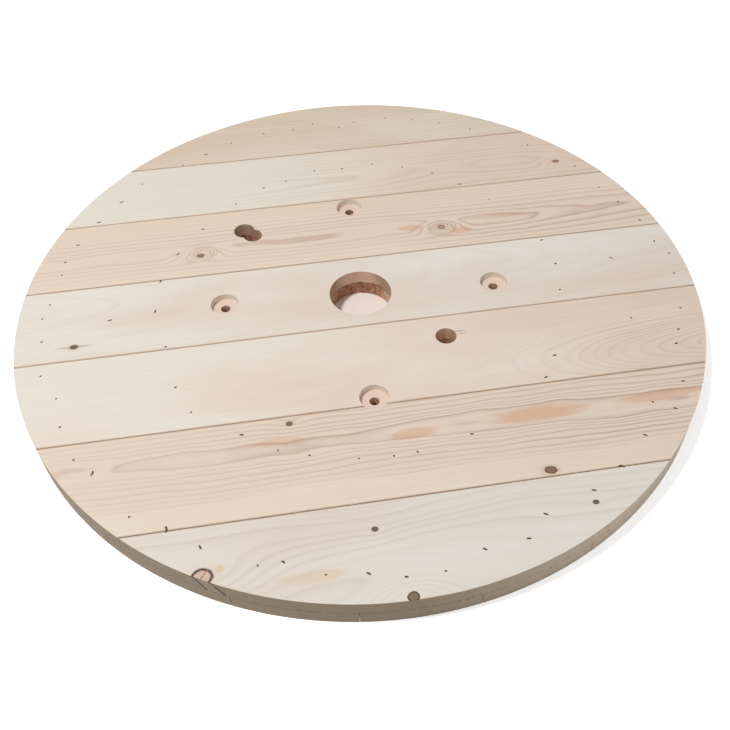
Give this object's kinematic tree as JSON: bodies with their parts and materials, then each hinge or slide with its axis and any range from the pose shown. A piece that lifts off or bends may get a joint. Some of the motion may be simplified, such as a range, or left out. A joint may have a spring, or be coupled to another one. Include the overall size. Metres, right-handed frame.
{
  "type": "cable drum flange",
  "caption": "Round wooden side disc of a cable drum, two crossed layers of nailed boards with a bore, a drive pin hole, a cable end hole and bolt holes.",
  "frame": {"origin": "on the bore's axis, on the inner face that the flange lies on", "axes": "+Z along the bore to the outer face, +X along the outer layer's boards"},
  "size_m": [0.9, 0.9, 0.04],
  "materials": {
    "outer_softwood": "planed",
    "inner_softwood": "planed",
    "nail_steel": "drawn wire"
  },
  "bodies": {
    "root": {"outer_board_1": "outer_softwood", "outer_board_2": "outer_softwood", "outer_board_3": "outer_softwood", "outer_board_4": "outer_softwood", "outer_board_5": "outer_softwood", "outer_board_6": "outer_softwood", "outer_board_7": "outer_softwood", "inner_board_1": "inner_softwood", "inner_board_2": "inner_softwood", "inner_board_3": "inner_softwood", "inner_board_4": "inner_softwood", "inner_board_5": "inner_softwood", "inner_board_6": "inner_softwood", "inner_board_7": "inner_softwood"}
  },
  "joints": []
}
